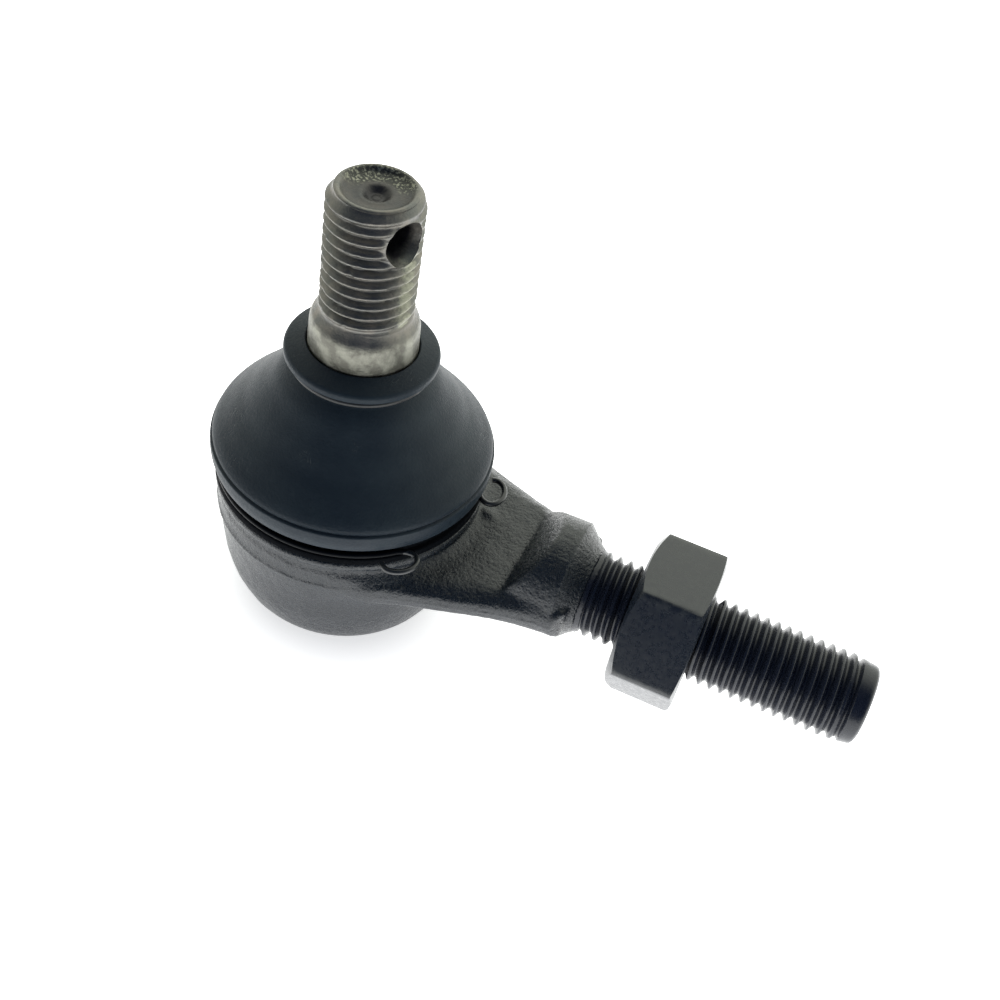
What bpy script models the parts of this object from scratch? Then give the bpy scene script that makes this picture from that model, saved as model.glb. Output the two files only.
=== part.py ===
"""Tie rod end with a male shank: the ball joint that links a tie rod to a steering knuckle.

The frame: the origin is the middle of the socket's flat closing plate, +Z runs up the ball stud
and +X runs along the threaded shank. Lengths are in millimetres until a shape is made.
"""

import math

import bmesh
import bpy

MM = 0.001
GAP = 0.3  # between two pieces that touch on the real joint

# Shank and stud threads, M10 x 1.25, drawn at their outside diameter
THREAD_RADIUS = 5.0
SHANK_START = 30.7
SHANK_END = 62.9

# Socket
AXIS_HEIGHT = 12.8  # the shank's axis and the ball's centre
SOCKET_BORE = 11.5
SEAM_RADIUS = 15.25
NECK_RADIUS = 13.7
NECK_TOP = 20.6
MOUTH_RADIUS = 8.9
LIP_BORE = 9.4

# Arm between the socket and the shank
ARM_SIDE_HALF = 1.0
ARM_WEB_HALF = 2.1
ARM_SLOPE_RUN = 1.9
BOSS_RADIUS = 7.2  # over the top
BOSS_HALF_WIDTH = 6.5
BOSS_LOW_RADIUS = 6.3  # underneath
BOSS_END = 27.9
RAMP_START = 22.0  # where the web starts to climb to the boss
RAMP_RISE = 1.5  # climb for each millimetre along the arm
CONE_RADIUS = 5.3
CONE_END = 29.9

# Ball stud
BALL_RADIUS = 9.5
STUD_NECK_RADIUS = 4.4
SEAT_BIG_RADIUS = 5.9
SEAT_TOP_RADIUS = 5.7
STUD_TOP = 54.3
COTTER_HEIGHT = 50.5
COTTER_RADIUS = 1.6
COTTER_MOUTH_RADIUS = 2.4
COTTER_ANGLE = math.radians(-22.6)

# Dust boot
BOOT_LIP_RADIUS = 8.3
BOOT_LIP_TOP = 34.8
BOOT_LIP_INNER_TOP = 35.6  # the lip climbs towards the stud
BOOT_BEAD_RADIUS = 15.85
NECK_RING_RADIUS = 7.7
NECK_RING_WIRE = 0.35
NECK_RING_HEIGHT = 33.2

# Wire clip round the boot's foot
CLIP_RADIUS = 15.02
CLIP_WIRE = 0.32
CLIP_HEIGHT = 18.45
CLIP_EYE_HALF = (1.4, 1.95)  # out from the boot, and along its foot
CLIP_EYE_ANGLES = (math.radians(11.0), math.radians(-45.0))

# Jam nut, 17 mm across its flats and 8 mm high
NUT_FLATS = 17.0
NUT_START = 35.6
NUT_END = 43.6

ROUND = 44  # steps round a large turned piece
FINE = 32  # steps round a small one

COLOURS = {
    "painted_steel": ((0.020, 0.023, 0.026), 0.42, 0.0),
    "bare_steel": ((0.33, 0.34, 0.31), 0.34, 1.0),
    "rubber": ((0.022, 0.028, 0.034), 0.55, 0.0),
    "black_wire": ((0.030, 0.033, 0.036), 0.36, 1.0),
    "black_nut": ((0.045, 0.047, 0.046), 0.38, 1.0),
    "acetal": ((0.72, 0.70, 0.64), 0.40, 0.0),
    "spring_steel": ((0.22, 0.22, 0.23), 0.32, 1.0),
}


def clear_scene():
    for old in list(bpy.data.objects):
        bpy.data.objects.remove(old, do_unlink=True)


def new_collection(name):
    made = bpy.data.collections.new(name)
    bpy.context.scene.collection.children.link(made)
    return made


def material_of(name):
    found = bpy.data.materials.get(name)
    if found:
        return found
    colour, roughness, metallic = COLOURS[name]
    made = bpy.data.materials.new(name)
    made.use_nodes = True
    shader = made.node_tree.nodes["Principled BSDF"]
    shader.inputs["Base Color"].default_value = (*colour, 1.0)
    shader.inputs["Roughness"].default_value = roughness
    shader.inputs["Metallic"].default_value = metallic
    return made


def add_object(name, data, collection, material=None):
    made = bpy.data.objects.new(name, data)
    collection.objects.link(made)
    if material:
        data.materials.append(material_of(material))
    return made


def arc(centre, radius, start, end, steps):
    """Points of an arc in the plane of a profile, angles in degrees from the outward direction."""
    points = []
    for step in range(steps + 1):
        angle = math.radians(start + (end - start) * step / steps)
        points.append((centre[0] + radius * math.cos(angle), centre[1] + radius * math.sin(angle)))
    return points


def turned(name, profile, collection, material=None, closed=True, steps=ROUND):
    """A turned solid about +Z. The profile of (radius, height) runs down its outer side."""
    mesh = bpy.data.meshes.new(name)
    shape = bmesh.new()
    corners = [shape.verts.new((radius * MM, 0.0, height * MM)) for radius, height in profile]
    for first, second in zip(corners, corners[1:]):
        shape.edges.new((first, second))
    if closed:
        shape.edges.new((corners[-1], corners[0]))
    shape.to_mesh(mesh)
    shape.free()
    made = add_object(name, mesh, collection, material)
    screw = made.modifiers.new("Turn", "SCREW")
    screw.axis = "Z"
    screw.angle = 2 * math.pi
    screw.steps = steps
    screw.render_steps = steps
    screw.use_merge_vertices = True
    screw.merge_threshold = 0.000002
    screw.use_smooth_shade = True
    return made


def lay_along_x(made):
    """Turns a piece made about +Z so that its +Z runs along the shank."""
    made.rotation_euler = (0.0, math.pi / 2, 0.0)
    made.location = (0.0, 0.0, AXIS_HEIGHT * MM)


def baked(made):
    """The object with its modifiers and its place applied to a plain mesh."""
    bpy.context.view_layer.update()
    graph = bpy.context.evaluated_depsgraph_get()
    mesh = bpy.data.meshes.new_from_object(made.evaluated_get(graph))
    mesh.transform(made.matrix_world)
    shape = bmesh.new()
    shape.from_mesh(mesh)
    bmesh.ops.remove_doubles(shape, verts=shape.verts, dist=0.000002)
    bmesh.ops.recalc_face_normals(shape, faces=shape.faces)
    shape.to_mesh(mesh)
    shape.free()
    name = made.name
    collection = made.users_collection[0]
    bpy.data.objects.remove(made, do_unlink=True)
    plain = bpy.data.objects.new(name, mesh)
    collection.objects.link(plain)
    return plain


def cut(made, cutter, operation="DIFFERENCE"):
    """Adds a Boolean, and turns its second piece into a hidden helper."""
    boolean = made.modifiers.new(cutter.name, "BOOLEAN")
    boolean.operation = operation
    boolean.solver = "EXACT"
    boolean.object = cutter
    cutter.hide_render = True
    cutter.display_type = "WIRE"


def smooth(made, degrees=35.0):
    made.data.shade_smooth()
    made.data.set_sharp_from_angle(angle=math.radians(degrees))


def socket_profile():
    """The socket's section: outer side down from the mouth, then the rolled lip and the bore."""
    outer = [(9.7, NECK_TOP), (NECK_RADIUS - 0.4, NECK_TOP), (NECK_RADIUS, NECK_TOP - 0.4)]
    outer += [(NECK_RADIUS, 17.1), (15.0, 17.1), (15.3, 16.8), (15.3, 16.3)]
    outer += [(14.75, 15.8), (14.75, 15.2), (14.95, 14.6), (15.0, 12.95)]
    outer += [(SEAM_RADIUS, 12.75), (SEAM_RADIUS, 12.45), (14.9, 12.25)]
    outer += [(14.55, 9.5), (14.1, 6.0), (13.45, 3.6), (12.75, 1.9), (12.0, 0.7), (11.3, 0.0)]
    lip = [(LIP_BORE + 0.2, 0.0), (LIP_BORE, 0.2), (LIP_BORE, 0.8), (SOCKET_BORE, 0.8)]
    seat = [(SOCKET_BORE, 13.0), (11.1, 15.0), (10.2, 16.8), (MOUTH_RADIUS, 18.4)]
    return outer + lip + seat


def arm_half_width(along):
    """Half the arm's width at its seam, narrowing in a gentle curve from the socket to the boss."""
    near, far = 9.0, 28.0
    share = min(max((along - near) / (far - near), 0.0), 1.0)
    return 13.1 - 6.6 * share + 1.0 * share**6


def arm_section(along):
    """The arm's eight-cornered section at one station, as (across, up) from the shank's axis."""
    wide = arm_half_width(along)
    top = wide - ARM_SLOPE_RUN
    right = [(top, ARM_WEB_HALF), (wide, ARM_SIDE_HALF)]
    right += [(across, -up) for across, up in reversed(right)]
    left = [(-across, up) for across, up in reversed(right)]
    return right + left


def make_arm(helpers):
    """A loft of eight-cornered sections, which no single tool makes, from the socket to the cone."""
    stations = [8.0, 12.0, 16.0, 20.0, 23.0, 26.0, 28.5]
    sections = [(along, arm_section(along)) for along in stations]
    sections.append((29.4, [(across * 0.84, up * 0.8) for across, up in arm_section(29.4)]))
    shape = bmesh.new()
    rings = []
    for along, section in sections:
        rings.append([shape.verts.new((along * MM, y * MM, (AXIS_HEIGHT + z) * MM)) for y, z in section])
    for before, after in zip(rings, rings[1:]):
        count = len(before)
        for side in range(count):
            following = (side + 1) % count
            shape.faces.new((before[side], before[following], after[following], after[side]))
    shape.faces.new(rings[0])
    shape.faces.new(rings[-1])
    bmesh.ops.recalc_face_normals(shape, faces=shape.faces)
    mesh = bpy.data.meshes.new("arm_core")
    shape.to_mesh(mesh)
    shape.free()
    return add_object("arm_core", mesh, helpers)


def make_ramps(helpers):
    """A prism across the arm whose two slopes cut the boss down to the web."""
    tip = RAMP_START - ARM_WEB_HALF / RAMP_RISE
    high = BOSS_RADIUS + 0.5
    far = SHANK_END + 1.0
    side = [(tip, 0.0), (tip + high / RAMP_RISE, high), (far, high)]
    side += [(far, -high), (tip + high / RAMP_RISE, -high)]
    shape = bmesh.new()
    corners = [shape.verts.new((x * MM, -high * MM, (AXIS_HEIGHT + z) * MM)) for x, z in side]
    face = shape.faces.new(corners)
    made = bmesh.ops.extrude_face_region(shape, geom=[face])["geom"]
    moved = [item for item in made if isinstance(item, bmesh.types.BMVert)]
    bmesh.ops.translate(shape, verts=moved, vec=(0.0, 2 * high * MM, 0.0))
    bmesh.ops.recalc_face_normals(shape, faces=shape.faces)
    mesh = bpy.data.meshes.new("ramps")
    shape.to_mesh(mesh)
    shape.free()
    return add_object("ramps", mesh, helpers)


def make_boss_form(helpers):
    """A prism along the arm that flattens the boss's sides and makes it shallower underneath."""
    high = BOSS_RADIUS + 1.0
    seam = -0.7
    start = math.degrees(math.asin(-seam / BOSS_LOW_RADIUS))
    section = [(BOSS_HALF_WIDTH, high), (-BOSS_HALF_WIDTH, high), (-BOSS_HALF_WIDTH, seam)]
    section += arc((0.0, 0.0), BOSS_LOW_RADIUS, start - 180.0 - 2 * start, -start, 16)
    section += [(BOSS_HALF_WIDTH, seam)]
    shape = bmesh.new()
    near = (RAMP_START - 4.0) * MM
    corners = [shape.verts.new((near, y * MM, (AXIS_HEIGHT + z) * MM)) for y, z in section]
    face = shape.faces.new(corners)
    made = bmesh.ops.extrude_face_region(shape, geom=[face])["geom"]
    moved = [item for item in made if isinstance(item, bmesh.types.BMVert)]
    bmesh.ops.translate(shape, verts=moved, vec=((SHANK_END + 2.0) * MM - near, 0.0, 0.0))
    bmesh.ops.recalc_face_normals(shape, faces=shape.faces)
    mesh = bpy.data.meshes.new("boss_form")
    shape.to_mesh(mesh)
    shape.free()
    return add_object("boss_form", mesh, helpers)


def make_housing(parts, helpers):
    """Forged socket, arm and shank in one piece."""
    root = RAMP_START - 2.0
    shank = [(0.0, SHANK_END), (4.3, SHANK_END), (4.65, SHANK_END - 0.5)]
    shank += [(THREAD_RADIUS, SHANK_END - 2.7), (THREAD_RADIUS, SHANK_START)]
    shank += [(CONE_RADIUS, CONE_END), (BOSS_RADIUS, BOSS_END), (BOSS_RADIUS, root), (0.0, root)]
    core = turned("shank_core", shank, helpers, closed=False, steps=FINE)
    lay_along_x(core)
    core = baked(core)
    cut(core, make_ramps(helpers), "INTERSECT")
    cut(core, make_boss_form(helpers), "INTERSECT")
    arm = make_arm(helpers)
    socket = [(0.0, 16.5), (14.0, 16.5), (14.0, 2.4), (0.0, 2.4)]
    clearance = turned("socket_clearance", socket, helpers, closed=False, steps=ROUND)
    clearance = baked(clearance)
    housing = turned("housing", socket_profile(), parts, steps=ROUND)
    housing = baked(housing)
    housing.data.materials.clear()
    housing.data.materials.append(material_of("painted_steel"))
    cut(arm, core, "UNION")
    cut(arm, clearance)
    cut(housing, arm, "UNION")
    smooth(housing)
    return housing


def stud_profile():
    """The ball stud's section, from the middle of its dished end down to the ball's flat."""
    ball_join = math.sqrt(BALL_RADIUS**2 - STUD_NECK_RADIUS**2)
    join_angle = math.degrees(math.asin(ball_join / BALL_RADIUS))
    end = [(0.0, STUD_TOP - 1.3), (0.9, STUD_TOP - 0.55), (3.1, STUD_TOP - 0.45), (3.65, STUD_TOP)]
    end += [(4.2, STUD_TOP), (THREAD_RADIUS, STUD_TOP - 0.9)]
    seat = [(THREAD_RADIUS, 40.0), (SEAT_TOP_RADIUS, 39.2), (SEAT_BIG_RADIUS, 34.6)]
    seat += [(SEAT_BIG_RADIUS, 30.2), (STUD_NECK_RADIUS, 26.5)]
    ball = arc((0.0, AXIS_HEIGHT), BALL_RADIUS, join_angle, -70.0, 15)
    flat = [(0.0, ball[-1][1])]
    return end + seat + ball + flat


def make_ball_stud(parts, helpers):
    """Ball, neck, taper seat and thread in one piece, with a cotter hole across the end."""
    stud = turned("ball_stud", stud_profile(), parts, "bare_steel", closed=False, steps=FINE)
    flare = COTTER_MOUTH_RADIUS - COTTER_RADIUS
    half = THREAD_RADIUS + 1.0
    sink = THREAD_RADIUS - 0.55
    hole = [(0.0, half), (COTTER_MOUTH_RADIUS + 0.6, half), (COTTER_MOUTH_RADIUS, sink + 0.3)]
    hole += [(COTTER_RADIUS, sink + 0.3 - flare), (COTTER_RADIUS, -sink - 0.3 + flare)]
    hole += [(COTTER_MOUTH_RADIUS, -sink - 0.3), (COTTER_MOUTH_RADIUS + 0.6, -half), (0.0, -half)]
    cutter = turned("cotter_cutter", hole, helpers, closed=False, steps=20)
    cutter.rotation_euler = (0.0, math.pi / 2, COTTER_ANGLE)
    cutter.location = (0.0, 0.0, COTTER_HEIGHT * MM)
    cutter = baked(cutter)
    cut(stud, cutter)
    return stud


def make_bearings(parts):
    """Two acetal seats, one above the ball and one below, which hold it in the socket."""
    hollow = BALL_RADIUS + GAP
    centre = (0.0, AXIS_HEIGHT)
    upper_rise = math.degrees(math.asin(5.1 / hollow))
    upper = [(8.95, 17.75), (9.9, 16.6), (10.78, 14.9), (SOCKET_BORE - GAP, AXIS_HEIGHT + 0.35)]
    upper += arc(centre, hollow, 2.1, upper_rise, 8)
    turned("upper_bearing", upper, parts, "acetal")
    lower_drop = -math.degrees(math.asin(8.6 / hollow))
    lower = [(SOCKET_BORE - GAP, AXIS_HEIGHT), (SOCKET_BORE - GAP, 4.0), (10.8, 3.6), (4.9, 3.6)]
    lower += arc(centre, hollow, lower_drop, 0.0, 12)
    turned("lower_bearing", lower, parts, "acetal")


def make_closing_parts(parts):
    """The disc spring that loads the lower seat, and the plate rolled into the socket's bottom."""
    spring = [(5.6, 3.25), (10.9, 2.65), (10.9, 2.05), (5.6, 2.65)]
    turned("preload_spring", spring, parts, "spring_steel", steps=FINE)
    plate = [(0.0, 0.9), (8.0, 0.9), (8.7, 1.75), (11.2, 1.75), (11.2, 1.1), (9.0, 1.1)]
    plate += [(8.3, 0.0), (0.0, 0.0)]
    turned("closing_plate", plate, parts, "painted_steel", closed=False)


def make_dust_boot(parts):
    """The rubber boot: a sloping lip on a neck, a cone with rounded shoulders, a bead and a foot."""
    lip = [(BOOT_LIP_RADIUS - 0.3, BOOT_LIP_TOP), (BOOT_LIP_RADIUS, BOOT_LIP_TOP - 0.3)]
    lip += [(BOOT_LIP_RADIUS, 34.15), (8.0, 33.9), (7.05, 33.75), (7.05, 32.65)]
    cone = [(7.6, 32.2), (8.7, 30.9), (9.8, 29.4), (11.0, 27.9), (12.2, 26.4), (13.3, 25.2)]
    cone += [(14.3, 24.1), (15.0, 23.4), (15.5, 22.8), (15.6, 22.35)]
    bead = [(BOOT_BEAD_RADIUS, 21.9), (BOOT_BEAD_RADIUS, 20.6), (15.5, 19.7), (15.0, 19.2)]
    groove = CLIP_RADIUS - CLIP_WIRE - GAP
    foot = [(groove, 19.05), (groove, 17.85), (15.2, 17.75), (15.3, 17.6), (15.3, 17.4)]
    foot += [(NECK_RADIUS + GAP, 17.4)]
    inside = [(NECK_RADIUS + GAP, NECK_TOP + GAP), (14.3, 21.9), (13.9, 23.0), (12.4, 24.5)]
    inside += [(10.2, 27.1), (8.0, 29.9), (6.9, 31.6), (6.2, 32.8), (6.2, BOOT_LIP_INNER_TOP)]
    boot = turned("dust_boot", lip + cone + bead + foot + inside, parts, "rubber")
    wire = arc((NECK_RING_RADIUS, NECK_RING_HEIGHT), NECK_RING_WIRE, 360.0, 45.0, 7)
    ring = turned("neck_ring", wire, parts, "black_wire", steps=FINE)
    return boot, ring


def clip_eye(angle, way):
    """An eye that curls out of the ring, from its free end to where it runs into the ring."""
    steps = 24
    out, along = CLIP_EYE_HALF
    middle = CLIP_RADIUS + out
    eye = []
    for step in range(steps):
        swing = math.radians(465.0 - 285.0 * step / steps)
        away = middle + out * math.cos(swing)
        side = way * along * math.sin(swing)
        across = away * math.cos(angle) - side * math.sin(angle)
        up = away * math.sin(angle) + side * math.cos(angle)
        eye.append((across, up))
    return eye


def clip_route():
    """The clip's centre line: an eye, the long way round the boot's foot, then the other eye."""
    first, second = CLIP_EYE_ANGLES
    end = second + 2 * math.pi
    steps = 56
    ring = []
    for step in range(steps + 1):
        angle = first + (end - first) * step / steps
        ring.append((CLIP_RADIUS * math.cos(angle), CLIP_RADIUS * math.sin(angle)))
    return clip_eye(first, 1.0) + ring + list(reversed(clip_eye(second, -1.0)))


def make_boot_clip(parts):
    """Spring wire that clamps the boot's foot to the socket, with an eye at each end."""
    curve = bpy.data.curves.new("boot_clip", "CURVE")
    curve.dimensions = "3D"
    curve.bevel_depth = CLIP_WIRE * MM
    curve.bevel_resolution = 2
    curve.use_fill_caps = True
    route = clip_route()
    line = curve.splines.new("POLY")
    line.points.add(len(route) - 1)
    for point, (x, y) in zip(line.points, route):
        point.co = (x * MM, y * MM, CLIP_HEIGHT * MM, 1.0)
    made = baked(add_object("boot_clip", curve, parts))
    made.data.materials.clear()
    made.data.materials.append(material_of("black_wire"))
    smooth(made)
    return made


def make_jam_nut(parts, helpers):
    """A hexagon nut, chamfered more on its arm side, clear of the thread so that it can travel."""
    corner = NUT_FLATS / math.sqrt(3.0)
    height = NUT_END - NUT_START
    half = height / 2
    mesh = bpy.data.meshes.new("jam_nut")
    shape = bmesh.new()
    bmesh.ops.create_cone(
        shape, cap_ends=True, segments=6, radius1=corner * MM, radius2=corner * MM, depth=height * MM
    )
    shape.to_mesh(mesh)
    shape.free()
    nut = add_object("jam_nut", mesh, parts, "black_nut")
    nut.rotation_euler = (0.0, math.pi / 2, 0.0)
    nut.location = ((NUT_START + half) * MM, 0.0, AXIS_HEIGHT * MM)
    washer = NUT_FLATS / 2 - 0.3
    big = corner + 1.0
    deep = math.tan(math.radians(30.0))
    shallow = math.tan(math.radians(13.0))
    rounding = [(0.0, half + 0.2), (washer - 0.2 / shallow, half + 0.2)]
    rounding += [(big, half - (big - washer) * shallow), (big, (big - washer) * deep - half)]
    rounding += [(washer - 0.2 / deep, -half - 0.2), (0.0, -half - 0.2)]
    cone = baked(turned("nut_rounding", rounding, helpers, closed=False, steps=48))
    bore = THREAD_RADIUS + GAP
    hole = [(0.0, half + 1.0), (bore + 1.6, half + 1.0), (bore, half - 0.6)]
    hole += [(bore, -half + 0.6), (bore + 1.6, -half - 1.0), (0.0, -half - 1.0)]
    drill = baked(turned("nut_drill", hole, helpers, closed=False, steps=FINE))
    for helper in (cone, drill):
        helper.rotation_euler = nut.rotation_euler
        helper.location = nut.location
    cut(nut, cone, "INTERSECT")
    cut(nut, drill)
    smooth(nut, 20.0)
    return nut


def hang_from(parent, pieces):
    """Parents pieces to an empty without moving them."""
    for piece in pieces:
        piece.parent = parent
        piece.matrix_parent_inverse = parent.matrix_world.inverted()


def main():
    clear_scene()
    parts = new_collection("tie_rod_end")
    helpers = new_collection("cutters")
    make_housing(parts, helpers)
    stud = make_ball_stud(parts, helpers)
    make_bearings(parts)
    make_closing_parts(parts)
    boot, ring = make_dust_boot(parts)
    make_boot_clip(parts)
    make_jam_nut(parts, helpers)
    ball_centre = bpy.data.objects.new("ball_centre", None)
    ball_centre.location = (0.0, 0.0, AXIS_HEIGHT * MM)
    parts.objects.link(ball_centre)
    bpy.context.view_layer.update()
    hang_from(ball_centre, (stud, boot, ring))


main()
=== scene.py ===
"""Looks of the tie rod end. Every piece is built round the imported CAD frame, in its coordinates.

Shapes are worked out in millimetres, with the shank along +X at AXIS and the ball stud up +Z.
"""

import math

import bmesh
import bpy
import numpy as np
from mathutils import Matrix, Vector, noise

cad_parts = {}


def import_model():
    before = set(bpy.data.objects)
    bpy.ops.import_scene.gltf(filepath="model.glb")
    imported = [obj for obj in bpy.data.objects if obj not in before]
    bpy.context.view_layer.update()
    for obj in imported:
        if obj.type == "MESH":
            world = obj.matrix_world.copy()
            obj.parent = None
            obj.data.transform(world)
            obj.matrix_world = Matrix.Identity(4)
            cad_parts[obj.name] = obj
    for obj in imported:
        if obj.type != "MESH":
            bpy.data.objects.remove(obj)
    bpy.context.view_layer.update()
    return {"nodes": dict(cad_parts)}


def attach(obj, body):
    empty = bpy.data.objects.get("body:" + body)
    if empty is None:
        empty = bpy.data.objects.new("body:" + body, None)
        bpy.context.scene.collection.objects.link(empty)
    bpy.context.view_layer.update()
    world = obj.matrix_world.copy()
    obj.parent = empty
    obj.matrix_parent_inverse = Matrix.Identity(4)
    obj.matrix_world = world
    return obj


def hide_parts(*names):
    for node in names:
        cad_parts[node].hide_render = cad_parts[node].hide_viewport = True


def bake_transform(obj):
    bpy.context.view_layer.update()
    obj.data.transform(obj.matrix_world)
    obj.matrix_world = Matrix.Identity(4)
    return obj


MM = 0.001
AXIS = 12.8  # height of the shank's axis and of the ball's centre
PITCH = 1.25
CREST = 5.0  # radius over the threads
THREAD_DEPTH = 0.72

SHANK_START = 30.2
THREAD_START = 30.6
SHANK_END = 62.9
SHANK_CORE = 4.3  # radius under the threads
RUNOUT_START = 60.8  # from here to the end the grooves fade out
RUNOUT_LENGTH = 1.2

FORGING_STEP = 0.2  # the distance field's grid
WEB_HALF_HEIGHT = 2.1
BOSS_RADIUS = 7.2  # above the parting line
BOSS_HALF_WIDTH = 7.3  # just past its radius, so it only softens the boss where it is widest
BOSS_LOW_RADIUS = 6.3  # below the parting line
BOSS_END = 27.9
CONE_RADIUS = 5.3
CONE_END = 29.9

BALL_RADIUS = 9.5
STUD_NECK_RADIUS = 4.4
STUD_TOP = 54.3
STUD_THREAD_START = 40.0
STUD_THREAD_PHASE = 53.6  # height at which a crest passes over +X
STUD_THREAD_DEPTH = 0.62
COTTER_HEIGHT = 50.5
COTTER_ANGLE = math.radians(-22.6)

NUT_FLATS = 17.0
NUT_START = 35.6
NUT_END = 43.6
NUT_BORE = 4.42  # smallest radius of its thread
NUT_MOUTH = 5.3
NUT_INNER_MOUTH_DEPTH = 0.62  # on the arm's side
NUT_OUTER_MOUTH_DEPTH = 1.3  # clears the shank's run-out at full travel
NUT_INNER_CHAMFER = 30.0
NUT_OUTER_CHAMFER = 13.0

NECK_RING_RADIUS = 7.45
NECK_RING_HEIGHT = 33.15
NECK_RING_WIRE = 0.33

CLIP_RADIUS = 15.02
CLIP_HEIGHT = 18.45
CLIP_WIRE = 0.32
CLIP_EYE_OUT = 1.4  # half its size away from the ring
CLIP_EYE_ALONG = 1.95  # half its size along the ring
CLIP_EYE_ANGLES = (11.0, -45.0)

CAMERA_ANGLES = (14.5, 45.27, -11.87)  # azimuth, elevation and roll
CAMERA_PLACE = (0.04407, -0.10072, 0.12600)
CAMERA_LENS = 48.34

FLOOR_REACH = 1.6
ROOM_WHITE = (1.50, 1.55, 1.38, 1.0)
ROOM_DARK = (0.02, 0.04, 0.10, 1.0)
ROOM_LEFT = (-0.968, -0.25, 0.0)  # towards the room's dimmer side


# ---------------------------------------------------------------- mesh building


def new_object(name, points, faces, smooth_below=None):
    """A mesh object from points in millimetres, its normals facing out."""
    mesh = bpy.data.meshes.new(name)
    mesh.from_pydata((np.asarray(points) * MM).tolist(), [], faces)
    mesh.update()
    made = bpy.data.objects.new(name, mesh)
    bpy.context.scene.collection.objects.link(made)
    tidy_mesh(mesh)
    mesh.shade_smooth()
    if smooth_below is not None:
        mesh.set_sharp_from_angle(angle=math.radians(smooth_below))
    return made


def tidy_mesh(mesh, merge=0.000001):
    """Welds doubled points, drops faces with no area and turns the normals out."""
    shape = bmesh.new()
    shape.from_mesh(mesh)
    bmesh.ops.remove_doubles(shape, verts=shape.verts, dist=merge)
    bmesh.ops.dissolve_degenerate(shape, edges=shape.edges, dist=merge / 4)
    bmesh.ops.recalc_face_normals(shape, faces=shape.faces)
    shape.to_mesh(mesh)
    shape.free()


def polar_grid(radii, heights, columns):
    """Rows of points about +Z. radii and heights are (rows, columns), or one value to a row."""
    around = np.linspace(0.0, 2 * np.pi, columns, endpoint=False)[None, :]
    radii = np.broadcast_to(np.asarray(radii, float).reshape(len(radii), -1), (len(radii), columns))
    heights = np.broadcast_to(np.asarray(heights, float).reshape(len(heights), -1), radii.shape)
    return np.stack([radii * np.cos(around), radii * np.sin(around), heights], axis=2)


def grid_faces(rows, columns, loop_rows=False):
    """Quads of a grid that closes on itself across its columns, and its rows too if asked."""
    faces = []
    last = rows if loop_rows else rows - 1
    for row in range(last):
        here = row * columns
        there = ((row + 1) % rows) * columns
        for column in range(columns):
            following = (column + 1) % columns
            faces.append((here + column, here + following, there + following, there + column))
    return faces


def turned(name, profile, columns=160, loop_rows=True, wobble=None, smooth_below=40.0):
    """A turned piece about +Z from a fine (radius, height) profile."""
    profile = np.asarray(profile, float)
    grid = polar_grid(profile[:, 0], profile[:, 1], columns)
    if wobble is not None:
        grid = wobble(grid)
    faces = grid_faces(len(profile), columns, loop_rows)
    return new_object(name, grid.reshape(-1, 3), faces, smooth_below)


def flowing(points, per_span=6):
    """A Catmull-Rom curve through the points."""
    points = np.asarray(points, float)
    ends = np.vstack([2 * points[0] - points[1], points, 2 * points[-1] - points[-2]])
    out = []
    for before, start, end, after in zip(ends, ends[1:], ends[2:], ends[3:]):
        for step in range(per_span):
            t = step / per_span
            out.append(
                0.5
                * (
                    2 * start
                    + (end - before) * t
                    + (2 * before - 5 * start + 4 * end - after) * t**2
                    + (3 * start - before - 3 * end + after) * t**3
                )
            )
    out.append(points[-1])
    return [tuple(point) for point in out]


def rounded(corners, radii, steps=4):
    """An open line with each inner corner rounded to its own radius."""
    corners = [np.asarray(corner, float) for corner in corners]
    out = [tuple(corners[0])]
    for before, corner, after, radius in zip(corners, corners[1:], corners[2:], radii):
        back = before - corner
        on = after - corner
        reach = min(radius, np.linalg.norm(back) * 0.45, np.linalg.norm(on) * 0.45)
        start = corner + back / np.linalg.norm(back) * reach
        end = corner + on / np.linalg.norm(on) * reach
        for step in range(steps + 1):
            t = step / steps
            out.append(tuple((1 - t) ** 2 * start + 2 * t * (1 - t) * corner + t**2 * end))
    out.append(tuple(corners[-1]))
    return out


def lumps(points, size, seed):
    """Smooth noise between about -1 and 1 at each point, its features `size` mm across."""
    shift = Vector((seed * 17.3, seed * 5.1, seed * 9.7))
    return np.array([noise.noise(Vector(point) / size + shift) for point in points])


def vertex_normals(mesh):
    normals = np.empty(len(mesh.vertices) * 3, np.float32)
    mesh.vertex_normals.foreach_get("vector", normals)
    return normals.reshape(-1, 3).astype(float)


def vertex_points(mesh):
    points = np.empty(len(mesh.vertices) * 3, np.float32)
    mesh.vertices.foreach_get("co", points)
    return points.reshape(-1, 3).astype(float) / MM


def set_points(mesh, points):
    mesh.vertices.foreach_set("co", (points * MM).astype(np.float32).ravel())
    mesh.update()


def mark(mesh, name, values):
    """Stores one number for each point, for a material to read."""
    attribute = mesh.attributes.get(name) or mesh.attributes.new(name, "FLOAT", "POINT")
    attribute.data.foreach_set("value", np.asarray(values, np.float32))


def lay_along_x(made):
    """Turns a piece made about +Z onto the shank's axis, +Z becoming +X."""
    made.data.transform(Matrix(((0, 0, 1, 0), (0, 1, 0, 0), (-1, 0, 0, AXIS * MM), (0, 0, 0, 1))))


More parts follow.
